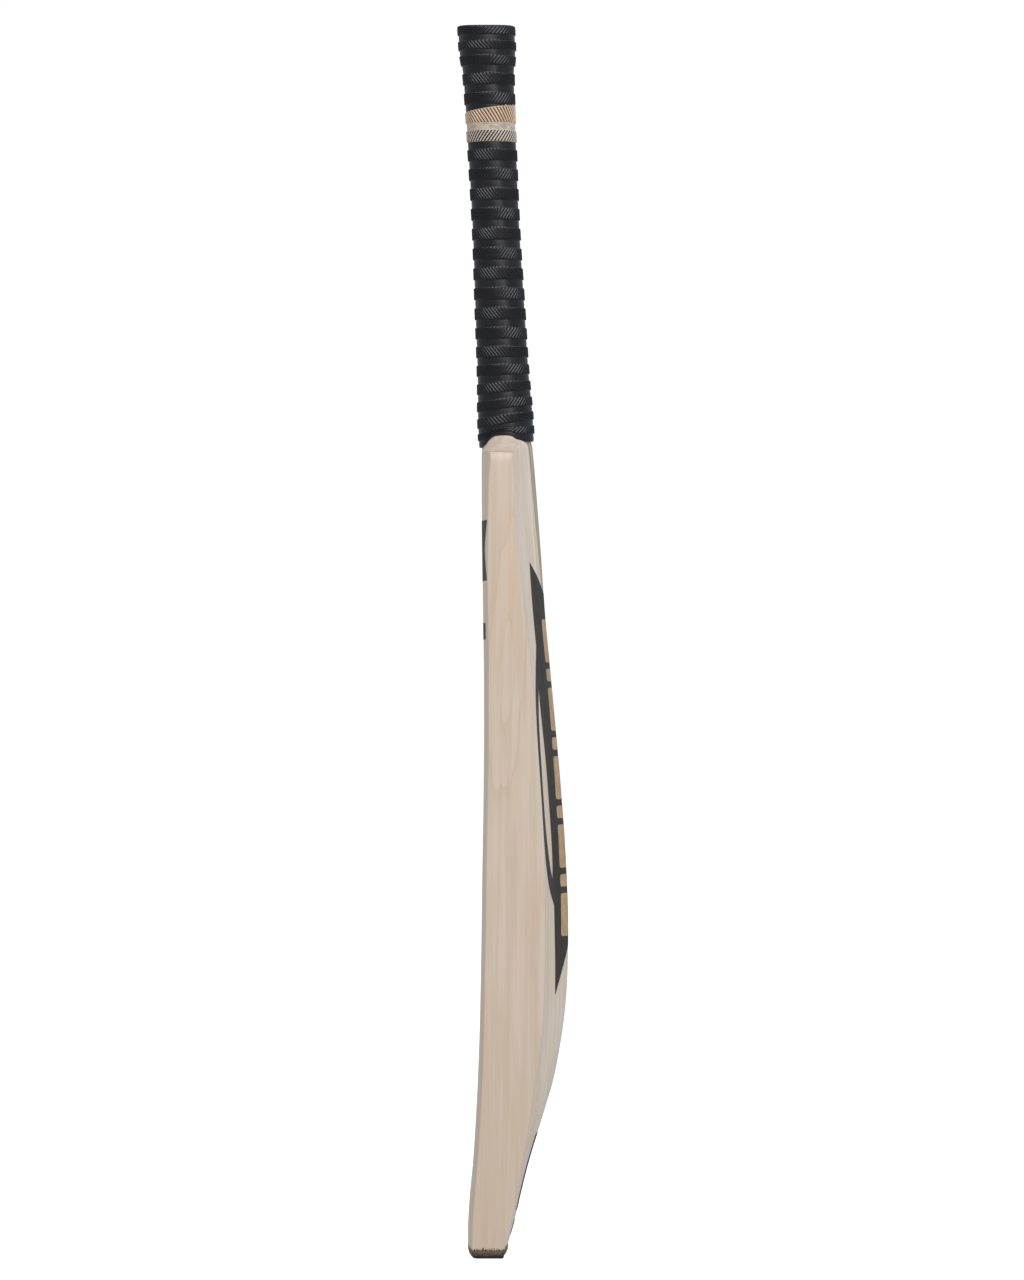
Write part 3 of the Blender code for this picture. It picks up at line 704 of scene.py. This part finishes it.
def build_toe_guard(look):
    """A cap under the toe: rounded towards a flat bottom, with a slightly ragged moulded surface."""
    outline = whole_ring(form_section(BLADE_BOTTOM), 0.0)[:, :2]
    widest = outline[:, 0].max()
    front = outline[:, 1].min()
    back = outline[:, 1].max()
    steps = np.array(GUARD_STEPS)
    dice = np.random.default_rng(GUARD_SEED)
    rows = []
    for z in GUARD_HEIGHTS:
        face_in, back_in, end_in = (np.interp(z, steps[:, 0], steps[:, column]) for column in (1, 2, 3))
        low = front + face_in
        high = back - back_in
        ring = np.column_stack([outline[:, 0] * (widest - end_in) / widest,
                                low + (outline[:, 1] - front) * (high - low) / (back - front)])
        rough = dice.uniform(*GUARD_ROUGHNESS, len(ring)) * (0.4 < z < 5.6)
        middle = np.array([0.0, (low + high) / 2])
        toward = ring - middle
        toward /= np.linalg.norm(toward, axis=1)[:, None]
        ring = ring + toward * rough[:, None]
        rows.append(np.column_stack([ring, np.full(len(ring), z)]))
    guard = show("speckled_toe_guard", ring_mesh("speckled_toe_guard", np.array(rows)))
    return finished_piece(guard, look, "toe_guard", crisp=50.0)


# ---- materials ----

class Look:
    """A node material under construction. Positions are in the frame's metres."""

    def __init__(self, name):
        self.material = bpy.data.materials.new(name)
        self.material.use_nodes = True
        self.tree = self.material.node_tree
        self.shader = self.tree.nodes["Principled BSDF"]
        self.place = self.add("ShaderNodeTexCoord").outputs["Object"]
        axes = self.add("ShaderNodeSeparateXYZ", {"Vector": self.place}).outputs
        self.x, self.y, self.z = axes[0], axes[1], axes[2]

    def feed(self, socket, value):
        if isinstance(value, bpy.types.NodeSocket):
            self.tree.links.new(value, socket)
        else:
            socket.default_value = value

    def add(self, kind, inputs=None, **settings):
        node = self.tree.nodes.new(kind)
        for key, value in settings.items():
            setattr(node, key, value)
        for key, value in (inputs or {}).items():
            self.feed(node.inputs[key], value)
        return node

    def math(self, operation, a, b=0.0):
        return self.add("ShaderNodeMath", {0: a, 1: b}, operation=operation).outputs[0]

    def sum(self, *values):
        total = values[0]
        for value in values[1:]:
            total = self.math("ADD", total, value)
        return total

    def product(self, *values):
        total = values[0]
        for value in values[1:]:
            total = self.math("MULTIPLY", total, value)
        return total

    def spot(self, centre, reach):
        """1 at one place on the edge's (y, z) plane, fading out round it."""
        across = self.math("DIVIDE", self.math("SUBTRACT", self.y, centre[0]), reach[0])
        along = self.math("DIVIDE", self.math("SUBTRACT", self.z, centre[1]), reach[1])
        spread = self.sum(self.product(across, across), self.product(along, along))
        return self.math("EXPONENT", self.product(spread, -1.0))

    def remap(self, value, low, high, to_low=0.0, to_high=1.0, smooth=True):
        kind = "SMOOTHSTEP" if smooth else "LINEAR"
        inputs = {"Value": value, "From Min": low, "From Max": high, "To Min": to_low, "To Max": to_high}
        return self.add("ShaderNodeMapRange", inputs, interpolation_type=kind).outputs["Result"]

    def noise(self, scales, detail=2.0, roughness=0.5, shift=0.0):
        """Noise with its own number of features per metre along each axis, from about 0.25 to 0.75."""
        stretched = self.add("ShaderNodeVectorMath", {0: self.place, 1: scales}, operation="MULTIPLY")
        moved = self.add("ShaderNodeVectorMath", {0: stretched.outputs[0], 1: (shift, shift, shift)},
                         operation="ADD")
        inputs = {"Vector": moved.outputs[0], "Scale": 1.0, "Detail": detail, "Roughness": roughness}
        return self.add("ShaderNodeTexNoise", inputs).outputs["Fac"]

    def ragged(self, scales, detail, size, shift=0.0):
        """A wandering offset round 0, for uneven borders."""
        return self.product(self.math("SUBTRACT", self.noise(scales, detail, shift=shift), 0.5), size)

    def cells(self, scale):
        return self.add("ShaderNodeTexVoronoi", {"Vector": self.place, "Scale": scale})

    def mix(self, factor, a, b):
        """Colour a where the factor is 0 and colour b where it is 1."""
        node = self.add("ShaderNodeMix", {"Factor": factor}, data_type="RGBA")
        self.feed(node.inputs[6], a)
        self.feed(node.inputs[7], b)
        return node.outputs[2]

    def tint(self, tone, where, amount, colour):
        return self.mix(self.product(where, amount), tone, colour)

    def bump(self, height, distance, strength):
        inputs = {"Height": height, "Distance": distance, "Strength": strength}
        node = self.add("ShaderNodeBump", inputs)
        self.feed(self.shader.inputs["Normal"], node.outputs[0])

    def surface(self, colour, roughness, **constants):
        self.feed(self.shader.inputs["Base Color"], colour)
        self.feed(self.shader.inputs["Roughness"], roughness)
        for name, value in constants.items():
            self.shader.inputs[name.replace("_", " ").title().replace("Ior", "IOR")].default_value = value
        return self.material


def rgb(red, green, blue):
    """A colour from display values between 0 and 255."""
    def linear(value):
        value /= 255
        return value / 12.92 if value <= 0.04045 else ((value + 0.055) / 1.055) ** 2.4
    return (linear(red), linear(green), linear(blue), 1.0)


# where the wood's marks are, as (y, z), and how far they reach
FIGURE_CENTRE = (0.012, 0.405)
FIGURE_REACH = (0.0105, 0.075)
FIGURE_BULGE = 0.015
STREAK_CENTRE = (0.0155, 0.470)
STREAK_REACH = (0.004, 0.034)
RING_SPACING = 0.0088
# the painted highlight line beside the spine: its x where z is 0, and how much nearer the middle it comes
# with height
SHEEN_LINE_X = 0.0283
SHEEN_LINE_SLOPE = 0.0235
CANE_END = 0.8475                  # from here up, the cane's pores show
TWINE_PITCH = 0.0008


def grain_rings(look):
    """Growth rings: layers across the bat that bulge into a long closed figure on the edges."""
    bulge = look.spot(FIGURE_CENTRE, FIGURE_REACH)
    wander = look.noise((14, 38, 7), detail=2.0)
    ripple = look.noise((60, 160, 20), detail=1.0, shift=4.0)
    depth = look.sum(look.x, look.product(bulge, FIGURE_BULGE), look.product(wander, 0.020),
                     look.product(ripple, 0.0022))
    return look.math("FRACT", look.math("DIVIDE", depth, RING_SPACING))


def shoulder_crease(look):
    """Painted shade along a crease across each edge, where the shoulder's scoop starts."""
    top = look.remap(look.z, (SHOULDER_CREASE + 0.8) * MM, (SHOULDER_CREASE + 0.2) * MM)
    low = look.remap(look.z, (SHOULDER_CREASE - 0.7) * MM, (SHOULDER_CREASE - 0.2) * MM)
    front = look.remap(look.y, -0.0004, 0.0012)
    back = look.remap(look.y, 0.0182, 0.0164)
    return look.product(top, low, look.product(front, back))


def spine_sheen_line(look):
    """A painted highlight line down each side of the spine above the decal, where the hollow of the back
    ends.
    """
    side = look.math("SUBTRACT", look.math("ABSOLUTE", look.x), SHEEN_LINE_X)
    away = look.math("ABSOLUTE", look.sum(side, look.product(look.z, SHEEN_LINE_SLOPE)))
    line = look.remap(away, 0.0016, 0.0004)
    return look.product(line, look.remap(look.z, 0.43, 0.47), look.remap(look.y, 0.016, 0.018))


def willow_look():
    look = Look("willow_wood")
    ring = grain_rings(look)
    ring_end = look.remap(ring, 1.0, 0.955)
    late = look.product(look.remap(ring, 0.30, 0.93), ring_end)
    line = look.product(look.remap(ring, 0.80, 0.93), ring_end)
    fibre = look.noise((900, 900, 16), detail=3.0, roughness=0.6)
    streak = look.noise((210, 210, 5), detail=2.0, shift=9.0)
    patch = look.noise((30, 30, 9), detail=2.0, shift=2.0)
    tone = look.mix(look.remap(streak, 0.36, 0.66), rgb(220, 202, 184), rgb(212, 192, 172))
    tone = look.tint(tone, look.remap(patch, 0.42, 0.66), 0.6, rgb(214, 189, 166))
    tone = look.tint(tone, late, 0.14, rgb(206, 172, 138))
    tone = look.tint(tone, line, 0.12, rgb(186, 150, 112))
    # a warm streak where the figure meets the back of the edge
    tone = look.tint(tone, look.spot(STREAK_CENTRE, STREAK_REACH), 0.38, rgb(222, 184, 148))
    tone = look.tint(tone, look.remap(fibre, 0.5, 0.72), 0.14, rgb(178, 148, 122))
    tone = look.tint(tone, look.remap(fibre, 0.46, 0.28), 0.18, rgb(236, 224, 210))
    # painted shade in the crease under the shoulder's scoop
    tone = look.tint(tone, shoulder_crease(look), 0.40, rgb(156, 128, 106))
    # painted highlight: a pale sheen line along the crease beside the spine
    tone = look.tint(tone, spine_sheen_line(look), 0.55, rgb(238, 224, 206))
    # dark grit along the uneven border with the toe guard
    grit = look.noise((1500, 1500, 900), detail=2.0, shift=5.0)
    border = look.sum(look.z, look.ragged((420, 420, 420), 3.0, 0.004))
    speckle = look.product(look.remap(border, 0.0078, 0.0066), look.remap(grit, 0.40, 0.55))
    tone = look.mix(speckle, tone, rgb(70, 58, 48))
    across_grain = look.noise((40, 40, 1400))
    height = look.sum(look.product(fibre, 0.6), look.product(across_grain, 0.25), look.product(line, -0.3))
    look.bump(height, 0.00012, 0.35)
    rough = look.remap(streak, 0.3, 0.7, 0.5, 0.6, smooth=False)
    return look.surface(tone, rough, specular_ior_level=0.25)


def cane_look():
    look = Look("cane_strips")
    fibre = look.noise((1300, 1300, 10), detail=3.0, roughness=0.65)
    streak = look.noise((330, 330, 4), detail=2.0, shift=3.0)
    tone = look.mix(look.remap(streak, 0.35, 0.68), rgb(184, 164, 146), rgb(160, 136, 116))
    tone = look.tint(tone, look.remap(fibre, 0.52, 0.66), 0.6, rgb(122, 96, 74))
    pores = look.remap(look.cells(1500.0).outputs["Distance"], 0.35, 0.2)
    ends = look.product(look.remap(look.z, CANE_END - 0.0003, CANE_END + 0.0003), pores)
    tone = look.mix(ends, tone, rgb(88, 66, 48))
    look.bump(fibre, 0.0002, 0.5)
    return look.surface(tone, look.remap(streak, 0.3, 0.7, 0.5, 0.62, smooth=False))


def tan_section(look):
    """1 on the grip's tan section, which is straight below and has a slanting feathered edge above."""
    feather = look.ragged((700, 700, 300), 3.0, look.remap(look.y, 0.004, 0.016, 0.0006, 0.006), shift=6.0)
    top_edge = look.sum(look.product(look.y, TAN_SLANT), TAN_TOP * MM + 0.0002, feather)
    above = look.math("SUBTRACT", top_edge, look.z)
    below = look.math("SUBTRACT", look.z, band_span(TAN_BAND + 1)[0] * MM)
    return look.product(look.remap(above, -0.0001, 0.0003), look.remap(below, -0.0001, 0.0002))


def tan_tone(look, relief, dust):
    """Warm tan above and greyer tan below, with painted shade and dirt darkening the grooves of the two
    bands.
    """
    stain = look.noise((240, 240, 500), 3.0, shift=1.0)
    lower_band_top = band_span(TAN_BAND + 1)[1] * MM
    in_lower_band = look.remap(look.z, lower_band_top + 0.0003, lower_band_top)
    warm = look.mix(look.remap(dust, 0.35, 0.68), rgb(224, 195, 164), rgb(208, 178, 148))
    grey = look.mix(look.remap(stain, 0.40, 0.62), rgb(202, 186, 165), rgb(172, 159, 143))
    tone = look.mix(look.remap(look.z, 0.7830, 0.7812), warm, grey)
    tone = look.mix(in_lower_band, tone, rgb(208, 191, 172))
    # painted shade, with some dirt, in the rib grooves: brown in the upper tan band, near black in the
    # lower
    groove_shade_and_dirt = look.mix(in_lower_band, rgb(84, 56, 38), rgb(12, 10, 12))
    shade_and_dirt_depth = look.sum(relief, look.product(in_lower_band, -0.20))
    return look.mix(look.remap(shade_and_dirt_depth, 0.48, 0.12), tone, groove_shade_and_dirt)


def grip_look():
    look = Look("grip_rubber")
    relief = look.add("ShaderNodeAttribute", attribute_name="relief").outputs["Fac"]
    dust = look.noise((120, 120, 70), detail=3.0)
    fine = look.noise((1800, 1800, 1800), detail=2.0)
    black = look.mix(look.remap(dust, 0.4, 0.7), rgb(22, 21, 27), rgb(28, 27, 34))
    # painted shade in the grooves between the ribs
    black = look.tint(black, look.remap(relief, 0.6, 0.15), 0.9, rgb(8, 7, 12))
    tone = look.mix(tan_section(look), black, tan_tone(look, relief, dust))
    look.bump(look.sum(fine, look.product(dust, 0.6)), 0.00006, 0.5)
    rough = look.remap(dust, 0.35, 0.7, 0.32, 0.42, smooth=False)
    return look.surface(tone, rough, specular_ior_level=0.28)


def guard_look():
    look = Look("toe_guard_rubber")
    granule = look.cells(900.0)
    shade = look.add("ShaderNodeSeparateColor", {"Color": granule.outputs["Color"]}).outputs[0]
    grit = look.noise((1300, 1300, 1300), detail=3.0, roughness=0.7)
    tone = look.mix(look.remap(shade, 0.25, 0.8), rgb(50, 43, 39), rgb(88, 79, 72))
    tone = look.mix(look.remap(grit, 0.57, 0.66), tone, rgb(132, 108, 80))
    tone = look.mix(look.remap(grit, 0.45, 0.36), tone, rgb(30, 24, 22))
    # browner towards the wood, and nearly black at the bottom: painted shade under the guard's rounded
    # lower edge
    border = look.sum(look.z, look.ragged((500, 500, 500), 2.0, 0.006, shift=8.0))
    tone = look.tint(tone, look.remap(border, 0.0034, 0.0050), 0.5, rgb(140, 110, 78))
    tone = look.mix(look.remap(look.z, 0.0028, 0.0014), tone, rgb(8, 6, 6))
    look.bump(look.math("SUBTRACT", grit, granule.outputs["Distance"]), 0.0005, 0.7)
    return look.surface(tone, look.remap(grit, 0.3, 0.7, 0.6, 0.85, smooth=False))


def film_look(name, light, dark, roughness):
    """A printed vinyl film with a fine mottle and slight wear."""
    look = Look(name)
    mottle = look.noise((260, 260, 120), detail=3.0)
    speck = look.noise((2400, 2400, 2400), detail=1.0)
    tone = look.mix(look.remap(mottle, 0.35, 0.7), light, dark)
    look.bump(look.sum(mottle, look.product(speck, 0.4)), 0.00005, 0.4)
    return look.surface(tone, look.remap(mottle, 0.3, 0.7, roughness, roughness + 0.1, smooth=False))


def insert_look():
    look = Look("insert_rubber")
    grain = look.noise((900, 900, 300), detail=3.0)
    tone = look.mix(look.remap(grain, 0.35, 0.68), rgb(38, 36, 35), rgb(58, 55, 52))
    look.bump(grain, 0.0003, 0.5)
    return look.surface(tone, look.remap(grain, 0.3, 0.7, 0.7, 0.85, smooth=False))


def twine_look():
    look = Look("binding_twine")
    turns = look.math("SINE", look.product(look.z, 2 * math.pi / TWINE_PITCH))
    fuzz = look.noise((1500, 1500, 1500), detail=3.0)
    # darker between the turns: painted shade in the gaps between the twine's turns
    tone = look.mix(look.remap(turns, -1.0, 0.8), rgb(128, 112, 88), rgb(206, 192, 164))
    tone = look.tint(tone, look.remap(fuzz, 0.5, 0.7), 0.4, rgb(232, 222, 200))
    look.bump(look.sum(turns, fuzz), 0.0002, 0.8)
    return look.surface(tone, look.remap(fuzz, 0.3, 0.7, 0.75, 0.9, smooth=False))


def dress_cad_nodes(looks):
    """Better materials for the CAD solids that stay: the inner cane, the inserts and the binding."""
    for name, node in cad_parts.items():
        for start, look in looks.items():
            if name.startswith(start):
                node.data.materials.clear()
                node.data.materials.append(look)


# ---- stage, light and camera ----

CAMERA_PLACE = (4.0, 0.016, 0.4242)
CAMERA_LENS = 162.05
CAMERA_SENSOR = 36.0
FLOOR_REACH = 8.0
FLOOR_GLOW = 0.95
EVEN_LIGHT = (0.92, 0.96, 1.0, 1.0)
EVEN_STRENGTH = 0.60
WHITE = (1.0, 1.0, 1.0, 1.0)
WHITE_STRENGTH = 1.05
# (name, place, target, size, power, colour, the kind of light that it gives none of)
LIGHTS = [("key", (1.9, 0.3, 1.35), (0.0, 0.0, 0.42), (1.1, 0.8), 10.9, (1.0, 0.985, 0.965), None),
          ("ring_strip", (2.2, 1.05, 0.75), (0.0, 0.0, 0.7), (0.3, 1.1), 7.0, (1.0, 1.0, 1.0), None),
          ("overhead", (0.1, 0.3, 2.6), (0.0, 0.0, 0.5), (1.3, 1.3), 15.0, (0.80, 0.90, 1.0), None),
          ("spine_side", (-0.4, 2.4, 0.4), (0.0, 0.0, 0.3), (1.2, 1.4), 14.5, (0.46, 0.75, 1.0), "glossy"),
          ("face_side", (-0.2, -2.0, 1.2), (0.0, 0.0, 0.65), (0.8, 0.8), 2.8, (0.42, 0.68, 1.0), "glossy"),
          ("rib_sheen", (1.5, 0.15, 2.3), (0.0, 0.0, 0.72), (2.4, 0.7), 58.0, (0.95, 0.97, 1.0), "diffuse")]


def build_stage():
    mesh = bpy.data.meshes.new("floor")
    corners = [(x * FLOOR_REACH, y * FLOOR_REACH, 0) for x, y in ((-1, -1), (1, -1), (1, 1), (-1, 1))]
    mesh.from_pydata(corners, [], [(0, 1, 2, 3)])
    floor = show("floor", mesh)
    look = Look("floor_white")
    mottle = look.noise((3, 3, 3))
    tone = look.mix(look.remap(mottle, 0.3, 0.7), (0.34, 0.34, 0.34, 1), (0.36, 0.36, 0.36, 1))
    white = look.surface(tone, 0.9, emission_color=WHITE, emission_strength=FLOOR_GLOW)
    floor.data.materials.append(white)
    floor.visible_glossy = False
    floor.visible_diffuse = False


def build_world():
    """White where the camera looks past the bat, and a dimmer even light on the bat itself."""
    world = bpy.data.worlds.new("studio")
    world.use_nodes = True
    bpy.context.scene.world = world
    tree = world.node_tree
    even = tree.nodes["Background"]
    even.inputs["Color"].default_value = EVEN_LIGHT
    even.inputs["Strength"].default_value = EVEN_STRENGTH
    white = tree.nodes.new("ShaderNodeBackground")
    white.inputs["Color"].default_value = WHITE
    white.inputs["Strength"].default_value = WHITE_STRENGTH
    paths = tree.nodes.new("ShaderNodeLightPath")
    choose = tree.nodes.new("ShaderNodeMixShader")
    tree.links.new(paths.outputs["Is Camera Ray"], choose.inputs[0])
    tree.links.new(even.outputs[0], choose.inputs[1])
    tree.links.new(white.outputs[0], choose.inputs[2])
    tree.links.new(choose.outputs[0], tree.nodes["World Output"].inputs[0])


def area_light(name, place, target, size, power, colour, left_out):
    light = bpy.data.lights.new(name, "AREA")
    light.shape = "RECTANGLE"
    light.size, light.size_y = size
    light.energy = power
    light.color = colour
    obj = show(name, light)
    forward = Vector(target) - Vector(place)
    obj.matrix_world = Matrix.Translation(place) @ forward.to_track_quat("-Z", "Y").to_matrix().to_4x4()
    obj.visible_glossy = left_out != "glossy"
    obj.visible_diffuse = left_out != "diffuse"


def build_camera():
    camera = bpy.data.cameras.new("camera")
    camera.lens = CAMERA_LENS
    camera.sensor_width = CAMERA_SENSOR
    camera.clip_end = 50.0
    obj = show("camera", camera)
    obj.location = CAMERA_PLACE
    obj.rotation_euler = (math.pi / 2, 0.0, math.pi / 2)
    bpy.context.scene.camera = obj


def build():
    bpy.context.scene.view_settings.view_transform = "Standard"
    build_camera()
    build_stage()
    build_world()
    for light in LIGHTS:
        area_light(*light)

    willow = willow_look()
    cane = cane_look()
    charcoal = film_look("charcoal_film", rgb(43, 35, 29), rgb(37, 31, 26), 0.66)
    gold = film_look("gold_film", rgb(184, 150, 108), rgb(162, 131, 93), 0.45)
    build_blade(willow)
    build_cane(cane)
    build_decals(charcoal, gold)
    build_grip(grip_look())
    build_toe_guard(guard_look())
    dress_cad_nodes({"cane_": cane, "rubber_insert_": insert_look(), "binding": twine_look()})


build()
